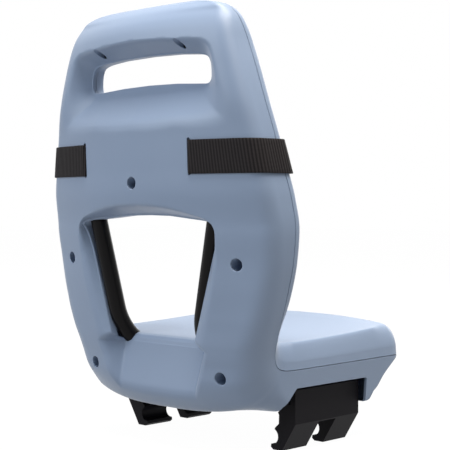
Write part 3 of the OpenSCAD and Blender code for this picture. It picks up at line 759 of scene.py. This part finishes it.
def make_rear():
    """Rear shell: closer lines at the sides and the rows' bends, then cuts, form and walls."""
    us = np.concatenate([spread(-1, -0.83, 0.0125), spread(-0.83, -0.66, 0.0135)[1:],
                         spread(-0.66, 0.66, 0.0105)[1:-1],
                         spread(0.66, 0.83, 0.0135)[:-1], spread(0.83, 1, 0.0125)])
    vs = np.concatenate([spread(0.3, REACH[10], 1.9)[:-1], spread(REACH[10], REACH[21], 2.1)[:-1],
                         spread(REACH[21], REACH[27], 2.2)[:-1],
                         spread(REACH[27], S_END - 0.3, 3.2)])
    sheet = Sheet(us, vs, rear_base)
    loop = sheet.outer
    row = rows_at(np.array([v.co.y for v in loop]))
    ang = np.radians(row[:, 2])
    arm = np.stack([0 * ang, np.cos(ang), np.sin(ang)], 1)
    cuts = [("slot", field_outline(SLOT, SLOT_EDGE)),
            ("opening", field_outline(OPENING, OPENING_EDGE)), ("strap", field_strap),
            ("bay", field_bay), ("window", field_window), ("bolts", field_bolts)]
    for k, w in enumerate(WELLS):
        cuts.append(("well%d" % k, field_hole(w[0], w[1], w[4] + WELL_EDGE)))
    for zone, face in ((pocket_zone, pocket_face), (bevel_zone, bevel_face),
                       (dish_zone, dish_face)):
        for offset in CREASE_AT:
            sheet.mark(crease(zone, face, offset))
    for name, field in cuts:
        sheet.cut(name, field)
    sheet.shape(rear_shape)

    def round_then(field, r, far):
        """Quarter round of an edge, then straight walls to the given Y."""
        def rings(p):
            out = outward(field, p)
            res = []
            for a in (25, 50, 75, 90):
                c = math.radians(a)
                res.append(p + out * r * math.sin(c) + np.array([0, r * (1 - math.cos(c)), 0]))
            end = p + out * r
            for y in far:
                e = end.copy()
                e[:, 1] = np.maximum(y, end[:, 1] + r + 0.2)
                res.append(e)
            return res
        return rings

    rim(sheet, "slot", round_then(cuts[0][1], SLOT_EDGE, [-107.2]))
    rim(sheet, "opening", round_then(cuts[1][1], OPENING_EDGE, [-100.4, -100.2]))
    for k, w in enumerate(WELLS):
        rim(sheet, "well%d" % k, round_then(field_hole(w[0], w[1], w[4]), WELL_EDGE,
                                            [w[2] + w[3]]), cap=True)

    def flat_in(axis, depth):
        def rings(p):
            q = p.copy()
            q[:, axis] += depth
            return [q]
        return rings

    rim(sheet, "strap", flat_in(1, 3.5))
    rim(sheet, "window", flat_in(2, 3))
    rim(sheet, "bolts", flat_in(2, 18), cap=True)

    def bay_in(p):
        q = p.copy()
        side = np.abs(p[:, 0]) > 118
        q[:, 0] -= np.sign(p[:, 0]) * np.where(side, 3, 0)
        q[:, 2] += np.where(side, 0, 3)
        return [q]

    rim(sheet, "bay", bay_in)
    parting_rim(sheet.bm, loop, arm)
    return sheet


rear = make_rear()
rear_obj = to_object(rear.bm, "rear_shell_skin", "seat", SHELL, 38, recalc=False)
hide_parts("rear_shell")

# ---------------------------------------------------------------- front shell


def front_table():
    """Rows of the front face: half width, parting Y and Z, lip Y and Z, centre Y and Z, and how
    far in the rounded side edge reaches."""
    rows = []
    for s in ROWS[:18]:
        z = s[1]
        lip = float(np.interp(-z, [-450.95, -450, -448, -445, -441, -436, -429, -420, -405, -150],
                              [1.2, 2.5, 4.5, 6.5, 8, 9, 9.5, 10, 10.5, 9.5]))
        mid = float(np.interp(-z, [-450.95, -450, -448, -445, -441, -436, -429, -420, -405, -380,
                                   -350, -318, -285, -255, -225, -195, -165, -140],
                              [1.1, 2.4, 3.6, 4, 3, 1, -1, -4, -7, -8, -7, -7, -9, -12, -12, -12,
                               -10.5, -7.5]))
        db = min(6, s[3] * 0.3)
        rows.append([s[3], s[0], z, s[0] + lip, z, s[0] + mid, z, db])
    rows += [
        [149, -75, 140, -65.3, 146, -81.4, 146, 6.5],
        [142.5, -74, 122, -65, 135, -80.8, 132, 8],
        [137.8, -72, 108, -63.8, 126.5, -79.6, 122.5, 10],
        [134.8, -69.5, 98, -61.5, 120.5, -77.2, 117.5, 12],
        [133.5, -65.5, 91, -58.5, 116.6, -73.6, 114.4, 14],
        [133.2, -61, 87.5, -55, 114.2, -69.5, 113.1, 14],
        [133.4, -57.5, 86.4, -52, 113, -66, 112.8, 14],
        [133.8, -54.5, 85.6, -48.5, 112.3, -61, 112.9, 13],
        [134.6, -46, 85, -42, 111.9, -52, 113, 12],
        [135, -34, 85, -32, 111.9, -37, 113.2, 8],
        [135.4, 20, 85.2, 20, 113.2, 20, 115.5, 8],
        [135.8, 60, 85.4, 60, 114.9, 60, 118.3, 8],
        [136.2, 92, 85.7, 92, 116.8, 92, 121.2, 8],
        [136.4, 106, 85.8, 106, 118, 106, 122.8, 12.5],
        [136.4, 118, 85.9, 118, 119, 118, 123.9, 15],
        [136, 123, 86, 123, 119.6, 123, 124.5, 19],
        [134.8, 128, 86, 128, 119.4, 128, 124.3, 25],
        [131.5, 131.8, 86, 131.6, 118.2, 131.6, 123, 27],
        [124.5, 134.6, 86, 134.6, 115.6, 134.6, 119.8, 27],
        [112, 136.8, 86.1, 136.6, 111.6, 136.6, 114.8, 26],
        [90, 138.8, 86.2, 138.6, 106, 138.6, 108, 22],
        [60, 140.2, 86.3, 140.1, 101, 140.1, 102, 16],
        [28, 140.7, 86.4, 140.6, 97, 140.6, 97.6, 9],
        [2, 140.8, 86.4, 140.75, 95, 140.75, 95.2, 0.6],
    ]
    return np.array(rows, float)


FRONT = front_table()
F_STEPS = np.maximum(np.linalg.norm(np.diff(FRONT[:, :3], axis=0), axis=1),
                     np.linalg.norm(np.diff(FRONT[:, 5:7], axis=0), axis=1))
F_REACH = np.concatenate([[0], np.cumsum(F_STEPS)])
F_DENSE = np.linspace(0, F_REACH[-1], 1600)
F_TABLE = pchip(F_REACH, FRONT, F_DENSE)
F_END = float(F_REACH[-1])
F_LEDGE = float(F_REACH[20])
# Path of the ledge under the opening, at the rows from the parting edge to the seat top.
LEDGE = np.array([[-89.7, 104.3], [-88.2, 108], [-85.6, 111.2], [-81.5, 112.6], [-75.5, 112.9],
                  [-66, 113], [-53, 113.05], [-37, 113.2]])
LEDGE_AT = F_REACH[20:28]
F_Q1, F_Q2 = 0.08, 0.22  # as Q1 and Q2
F_SLOT_EDGE, F_OPENING_EDGE = 1.8, 5


def front_base(uv):
    """Front face of the back and the top of the seat."""
    u, s = uv[:, 0], uv[:, 1]
    row = np.stack([np.interp(s, F_DENSE, F_TABLE[:, k]) for k in range(8)], 1)
    w, p = row[:, 0], row[:, 1:3]
    lip, mid, db = row[:, 3:5], row[:, 5:7], row[:, 7]
    q = 1 - np.abs(u)
    arm = lip - p
    deep = np.linalg.norm(arm, axis=1)
    e = arm / np.maximum(deep, 1e-6)[:, None]
    seat = step(s, F_REACH[18], F_REACH[26])
    ax, ad = w - (0.4 + 0.4 * seat), deep * (0.45 - 0.13 * seat)
    cx, cd = w - (1.4 + 3.6 * seat), deep * (0.97 - 0.01 * seat)
    bx = np.maximum(w - db, 0.1)
    t1 = np.clip(q / F_Q1, 0, 1)
    t2 = np.clip((q - F_Q1) / (F_Q2 - F_Q1), 0, 1)
    t3 = np.clip((q - F_Q2) / (1 - F_Q2), 0, 1)
    x1, d1 = w + (ax - w) * t1, ad * t1
    x2 = (1 - t2) ** 2 * ax + 2 * t2 * (1 - t2) * cx + t2 ** 2 * bx
    d2 = (1 - t2) ** 2 * ad + 2 * t2 * (1 - t2) * cd + t2 ** 2 * deep
    x3 = bx * (1 - t3)
    x = np.where(q < F_Q1, x1, np.where(q < F_Q2, x2, x3))
    d = np.where(q < F_Q1, d1, d2)
    edge = p + e * d[:, None]
    power = 4 - 1.6 * seat
    rise = (x3 / bx) ** power
    face = mid + (lip - mid) * rise[:, None]
    low = np.stack([np.interp(s, LEDGE_AT, LEDGE[:, k]) for k in range(2)], 1)
    flat = (1 - step(x, 58, 65)) * (s >= F_LEDGE - 0.5) * (s < LEDGE_AT[-1])
    face = face + (low - face) * flat[:, None]
    yz = np.where((q < F_Q2)[:, None], edge, face)
    return np.stack([x * np.sign(u), yz[:, 0], yz[:, 1]], 1)


def make_front():
    """Front shell, made as the rear one."""
    us = np.concatenate([spread(-1, -0.92, 0.01), spread(-0.92, -0.78, 0.012)[1:],
                         spread(-0.78, 0.78, 0.0125)[1:-1], spread(0.78, 0.92, 0.012)[:-1],
                         spread(0.92, 1, 0.01)])
    vs = np.concatenate([spread(0, F_REACH[9], 2.0)[:-1], spread(F_REACH[9], F_REACH[18], 2.4)[:-1],
                         spread(F_REACH[18], F_LEDGE, 1.4), spread(F_LEDGE, F_REACH[27], 1.3)[1:-1],
                         spread(F_REACH[27], F_REACH[31], 3.2)[:-1],
                         spread(F_REACH[31], F_END, 1.8)])
    sheet = Sheet(us, vs, front_base)
    loop = sheet.outer
    arm = np.zeros((len(loop), 3))
    for i, v in enumerate(loop):
        s = v.co.y
        row = [np.interp(s, F_DENSE, F_TABLE[:, k]) for k in range(8)]
        d = np.array([0, row[3] - row[1], row[4] - row[2]])
        arm[i] = d / max(np.linalg.norm(d), 1e-6)
    slot = field_outline(SLOT, F_SLOT_EDGE)
    opening = field_outline(OPENING, F_OPENING_EDGE)
    sheet.cut("slot", slot)
    sheet.cut("opening", opening, until=F_LEDGE - 0.1)
    sheet.shape(lambda p: p)

    def collar(field, r, back):
        """Quarter round, then a wall back to the rear shell. Over the ledge it only turns in."""
        def rings(p):
            out = outward(field, p)
            res = []
            for a in (30, 60, 90):
                c = math.radians(a)
                res.append(p + out * r * math.sin(c) - np.array([0, r * (1 - math.cos(c)), 0]))
            end = p + out * r
            end[:, 1] = np.minimum(back, p[:, 1] - r - 0.2)
            low = p[:, 2] < 112
            end[low] = p[low] + np.array([0, 1.5, -1.2])
            for ring in res:
                ring[low] = p[low]
            res.append(end)
            return res
        return rings

    rim(sheet, "slot", collar(slot, F_SLOT_EDGE, -106.9))
    rim(sheet, "opening", collar(opening, 2, -99.9))
    parting_rim(sheet.bm, loop, arm)
    return sheet


front = make_front()
front_obj = to_object(front.bm, "front_shell_skin", "seat", SHELL, 42, recalc=False)
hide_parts("front_shell")

# ---------------------------------------------------------------- frame tube

TUBE_POINTS = [(-54, 66, 94.5), (-54, -95, 94.5), (-113.1, -110.5, 334), (113.1, -110.5, 334),
               (54, -95, 94.5), (54, 66, 94.5)]
TUBE_BENDS = [50, 34, 34, 50]
TUBE_R = 9


def bent_line(points, bends, n=14):
    """Line through points with an arc of the given radius at each bend."""
    pts = [np.array(p, float) for p in points]
    out = [pts[0]]
    for i in range(1, len(pts) - 1):
        u = pts[i] - pts[i - 1]
        v = pts[i + 1] - pts[i]
        u, v = u / np.linalg.norm(u), v / np.linalg.norm(v)
        turn = math.acos(float(u @ v))
        side = v - (u @ v) * u
        side /= np.linalg.norm(side)
        r = bends[i - 1]
        start = pts[i] - r * math.tan(turn / 2) * u
        for k in range(n + 1):
            a = turn * k / n
            out.append(start + r * (math.sin(a) * u + (1 - math.cos(a)) * side))
    out.append(pts[-1])
    return np.array(out)


def sweep(line, r, sides=40):
    """Round tube along a line, open at both ends."""
    bm = bmesh.new()
    last = None
    n = None
    for i, p in enumerate(line):
        t = line[min(i + 1, len(line) - 1)] - line[max(i - 1, 0)]
        t /= np.linalg.norm(t)
        if n is None:
            n = np.cross(t, [0.3, 1, 0.8])
        n = n - (n @ t) * t
        n /= np.linalg.norm(n)
        b = np.cross(t, n)
        ring = [bm.verts.new(p + r * (math.cos(a) * n + math.sin(a) * b))
                for a in np.linspace(0, 2 * math.pi, sides, endpoint=False)]
        if last:
            for k in range(sides):
                bm.faces.new((last[k], last[(k + 1) % sides], ring[(k + 1) % sides], ring[k]))
        last = ring
    return bm


tube = to_object(sweep(bent_line(TUBE_POINTS, TUBE_BENDS), TUBE_R), "frame_tube_skin", "seat", TUBE)
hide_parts("frame_tube")

# ---------------------------------------------------------------- strap

STRAP_Z, STRAP_W, STRAP_T = 294.5, 33.0, 1.8
STRAP_GAP, LOOP_GAP = 0.35, 0.15     # from the webbing to the shell, and more at the buckle's bar
OFF = STRAP_GAP + STRAP_T / 2        # from the shell to the webbing's middle
BAR_X, BAR_Y, BAR_R = 31.0, -57.7, 2.5
RUN_Y = BAR_Y - BAR_R - STRAP_GAP - STRAP_T - LOOP_GAP
RIB_PITCH, RIB_H, RIB_STEP = 3.4, 0.32, 0.68
# Lines across the webbing from edge to edge, and how much of the thickness each keeps.
ACROSS = np.array([-1, -0.985, -0.93, -0.75, -0.45, -0.15, 0.15, 0.45, 0.75, 0.93, 0.985, 1])
THIN = np.array([0.35, 0.8, 1, 1, 1, 1, 1, 1, 1, 1, 0.8, 0.35])


def lengths(line):
    """Length along a line at each of its points."""
    return np.concatenate([[0], np.cumsum(np.linalg.norm(np.diff(line, axis=0), axis=1))])


def strap_line(z):
    """Middle line of the webbing at a height, on the right, from behind the slot to its end."""
    s = float(reach_at_z(z))
    qs = np.concatenate([np.linspace(0.75, Q2, 40), np.linspace(Q2, Q1, 12)[1:],
                         np.linspace(Q1, 0, 10)[1:]])
    p = rear_base(np.stack([1 - qs, np.full(len(qs), s)], 1))[:, :2]
    skin_y = [float(np.interp(x, p[:, 0], p[:, 1])) for x in (77.4, 78.4, 80.2)]
    p = p[p[:, 0] > 82.5]
    t = np.gradient(p, axis=0)
    t /= np.linalg.norm(t, axis=1)[:, None]
    nrm = np.stack([t[:, 1], -t[:, 0]], 1)
    if nrm[0, 1] > 0:
        nrm = -nrm
    m = p + nrm * OFF
    edge = p[-1]
    start = [[60, -124.5 - OFF], [75, -124.6 - OFF], [77.2, -127], [77.4, skin_y[0] + 1.2],
             [78.4, skin_y[1] - OFF + 0.5], [80.2, skin_y[2] - OFF]]
    run = RUN_Y + OFF
    ends = [[edge[0] + OFF, edge[1] + 5], [edge[0] + OFF - 0.6, edge[1] + 9.2],
            [edge[0] - 5 + OFF * 0.7, edge[1] + 13.4 + OFF * 0.6],
            [edge[0] - 14, edge[1] + 16.5 + OFF],
            [edge[0] - 26, RUN_Y - 1 + OFF], [BAR_X + 40, run - 0.4], [BAR_X + 2, run]]
    turn = BAR_R + STRAP_GAP + LOOP_GAP + STRAP_T / 2
    wrap = [[BAR_X + turn * math.cos(math.radians(a)), BAR_Y + turn * math.sin(math.radians(a))]
            for a in range(-100, -325, -16)]
    back = RUN_Y + 0.5 + 2 * STRAP_T + STRAP_GAP - OFF
    tail = [[BAR_X + 9, back], [BAR_X + 22, back], [BAR_X + 40, back]]
    return np.vstack([start, m, ends, wrap, tail])


def make_strap():
    """Webbing with ribs across it on both faces, on both sides of the seat."""
    bm = bmesh.new()
    uvl = bm.loops.layers.uv.new("UVMap")
    zs = STRAP_Z + ACROSS * STRAP_W / 2
    lines = []
    count = None
    for z in zs:
        line = strap_line(z)
        d = lengths(line)
        if count is None:
            total = d[-1]
            count = int(total / RIB_STEP)
        lines.append(pchip(d / d[-1], line, np.linspace(0, 1, count)))
    lines = np.array(lines)
    along = np.linspace(0, total, count)
    rib = RIB_H * np.sqrt(0.5 - 0.5 * np.cos(2 * math.pi * along / RIB_PITCH))
    t = np.gradient(lines, axis=1)
    t /= np.linalg.norm(t, axis=2)[:, :, None]
    nrm = np.stack([t[:, :, 1], -t[:, :, 0]], 2)
    for sgn in (1, -1):
        faces = []
        grids = []
        for face in (1, -1):
            off = face * (STRAP_T / 2 - RIB_H + rib)[None, :] * THIN[:, None]
            xy = lines + nrm * off[:, :, None]
            grid = [[bm.verts.new((sgn * xy[j, i, 0], xy[j, i, 1], zs[j])) for i in range(count)]
                    for j in range(len(zs))]
            grids.append(grid)
        a, b = grids
        for j in range(len(zs) - 1):
            for i in range(count - 1):
                faces.append((bm.faces.new((a[j][i], a[j][i + 1], a[j + 1][i + 1], a[j + 1][i])),
                              i))
                faces.append((bm.faces.new((b[j][i], b[j + 1][i], b[j + 1][i + 1], b[j][i + 1])),
                              i))
        m = len(zs) - 1
        for i in range(count - 1):
            faces.append((bm.faces.new((a[0][i], b[0][i], b[0][i + 1], a[0][i + 1])), i))
            faces.append((bm.faces.new((a[m][i], a[m][i + 1], b[m][i + 1], b[m][i])), i))
        for k in (0, count - 1):
            ring = [a[j][k] for j in range(m + 1)] + [b[j][k] for j in range(m, -1, -1)]
            bm.faces.new(ring)
        for f, i in faces:
            for lp in f.loops:
                lp[uvl].uv = (along[i] * MM, lp.vert.co.z * MM)
    return bm


strap = to_object(make_strap(), "lap_strap_web", "seat", WEB, 50)
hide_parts("lap_strap")

# ---------------------------------------------------------------- carried-over pieces

LOOKS = {
    "tube_plugs": BLACK, "carrier": STEEL, "tube_saddles": STEEL, "saddle_screws": ZINC,
    "carrier_screws": ZINC, "guide_rods": ZINC, "spindle": ZINC, "hand_wheel": BLACK,
    "retaining_rings": ZINC, "clamp_left": CLAMP, "clamp_right": CLAMP, "nut_left": BRASS,
    "nut_right": BRASS, "buckle_socket": BLACK, "buckle_tongue": BLACK, "strap_keeper": BLACK,
    "shell_screws": STEEL,
}
for node, mat in LOOKS.items():
    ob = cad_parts[node]
    for slot in ob.material_slots:
        slot.material = mat
    if not ob.material_slots:
        ob.data.materials.append(mat)

# ---------------------------------------------------------------- stage, light, camera


FLOOR_HALF, FLOOR_Z, FLOOR_CELLS = 9.0, -0.0005, 24


def stage():
    """Pale floor that keeps the shadow and is nearly white to the camera."""
    bm = bmesh.new()
    size, n = FLOOR_HALF, FLOOR_CELLS
    verts = [[bm.verts.new((-size + 2 * size * i / n, -size + 2 * size * j / n, FLOOR_Z))
              for i in range(n + 1)] for j in range(n + 1)]
    for j in range(n):
        for i in range(n):
            bm.faces.new((verts[j][i], verts[j][i + 1], verts[j + 1][i + 1], verts[j + 1][i]))
    mesh = bpy.data.meshes.new("floor")
    bm.to_mesh(mesh)
    bm.free()
    ob = bpy.data.objects.new("floor", mesh)
    bpy.context.scene.collection.objects.link(ob)
    mat = bpy.data.materials.new("floor_white")
    nodes, links, bsdf = nodes_of(mat)
    bsdf.inputs["Base Color"].default_value = (0.3, 0.3, 0.3, 1)
    bsdf.inputs["Roughness"].default_value = 0.9
    glow = add(nodes, "ShaderNodeEmission", Strength=1.09)
    path = add(nodes, "ShaderNodeLightPath")
    mix = add(nodes, "ShaderNodeMixShader")
    seen = either(nodes, links, path.outputs["Is Camera Ray"], path.outputs["Is Glossy Ray"])
    scale = add(nodes, "ShaderNodeMath", operation="MULTIPLY")
    scale.inputs[1].default_value = 0.9
    links.new(seen, scale.inputs[0])
    links.new(scale.outputs[0], mix.inputs["Fac"])
    links.new(bsdf.outputs[0], mix.inputs[1])
    links.new(glow.outputs[0], mix.inputs[2])
    links.new(mix.outputs[0], nodes["Material Output"].inputs["Surface"])
    ob.data.materials.append(mat)


stage()
MIDDLE = (0, -0.03, 0.22)


def lamp(name, place, size, power, color=(1, 1, 1)):
    """Square lamp that looks at the middle of the seat."""
    data = bpy.data.lights.new(name, "AREA")
    data.shape = "RECTANGLE"
    data.size, data.size_y = size, size
    data.energy = power
    data.color = color
    ob = bpy.data.objects.new(name, data)
    bpy.context.scene.collection.objects.link(ob)
    ob.location = place
    ob.rotation_euler = (Vector(MIDDLE) - Vector(place)).to_track_quat("-Z", "Y").to_euler()


WARM, COOL = (1, 0.93, 0.84), (0.93, 0.97, 1)
lamp("top", (0.4, 0.0, 2.2), 1.6, 106, WARM)
lamp("rear_left", (-0.9, -2.0, 1.3), 1.6, 31, COOL)
lamp("right", (1.5, -0.3, 1.6), 0.8, 4, WARM)
lamp("front", (-0.6, 2.2, 1.0), 1.6, 12)

# White where the background is seen, in the picture and in glossy faces, and dim as a light.
world = bpy.data.worlds.new("studio")
bpy.context.scene.world = world
world.use_nodes = True
wn, wl = world.node_tree.nodes, world.node_tree.links
white = wn["Background"]
white.inputs["Color"].default_value = (1, 1, 1, 1)
white.inputs["Strength"].default_value = 1.0
soft = add(wn, "ShaderNodeBackground", Strength=0.15)
soft.inputs["Color"].default_value = (1, 1, 1, 1)
path = add(wn, "ShaderNodeLightPath")
mixer = add(wn, "ShaderNodeMixShader")
through = either(wn, wl, path.outputs["Is Camera Ray"], path.outputs["Is Transmission Ray"])
wl.new(either(wn, wl, through, path.outputs["Is Glossy Ray"]), mixer.inputs["Fac"])
wl.new(soft.outputs[0], mixer.inputs[1])
wl.new(white.outputs[0], mixer.inputs[2])
wl.new(mixer.outputs[0], wn["World Output"].inputs["Surface"])

CAMERA_TURN = math.radians(44)
CAMERA_AWAY, CAMERA_HEIGHT = 1.315, 0.248
cam_data = bpy.data.cameras.new("camera")
cam_data.lens = 96.8
cam_data.sensor_width = 36
cam_data.shift_y = -20 / 450
cam_data.clip_end = 50
cam = bpy.data.objects.new("camera", cam_data)
bpy.context.scene.collection.objects.link(cam)
cam.location = (CAMERA_AWAY * math.sin(CAMERA_TURN), -CAMERA_AWAY * math.cos(CAMERA_TURN),
                CAMERA_HEIGHT)
cam.rotation_euler = (math.radians(90), 0, CAMERA_TURN)
bpy.context.scene.camera = cam

bpy.context.scene.view_settings.view_transform = "Standard"
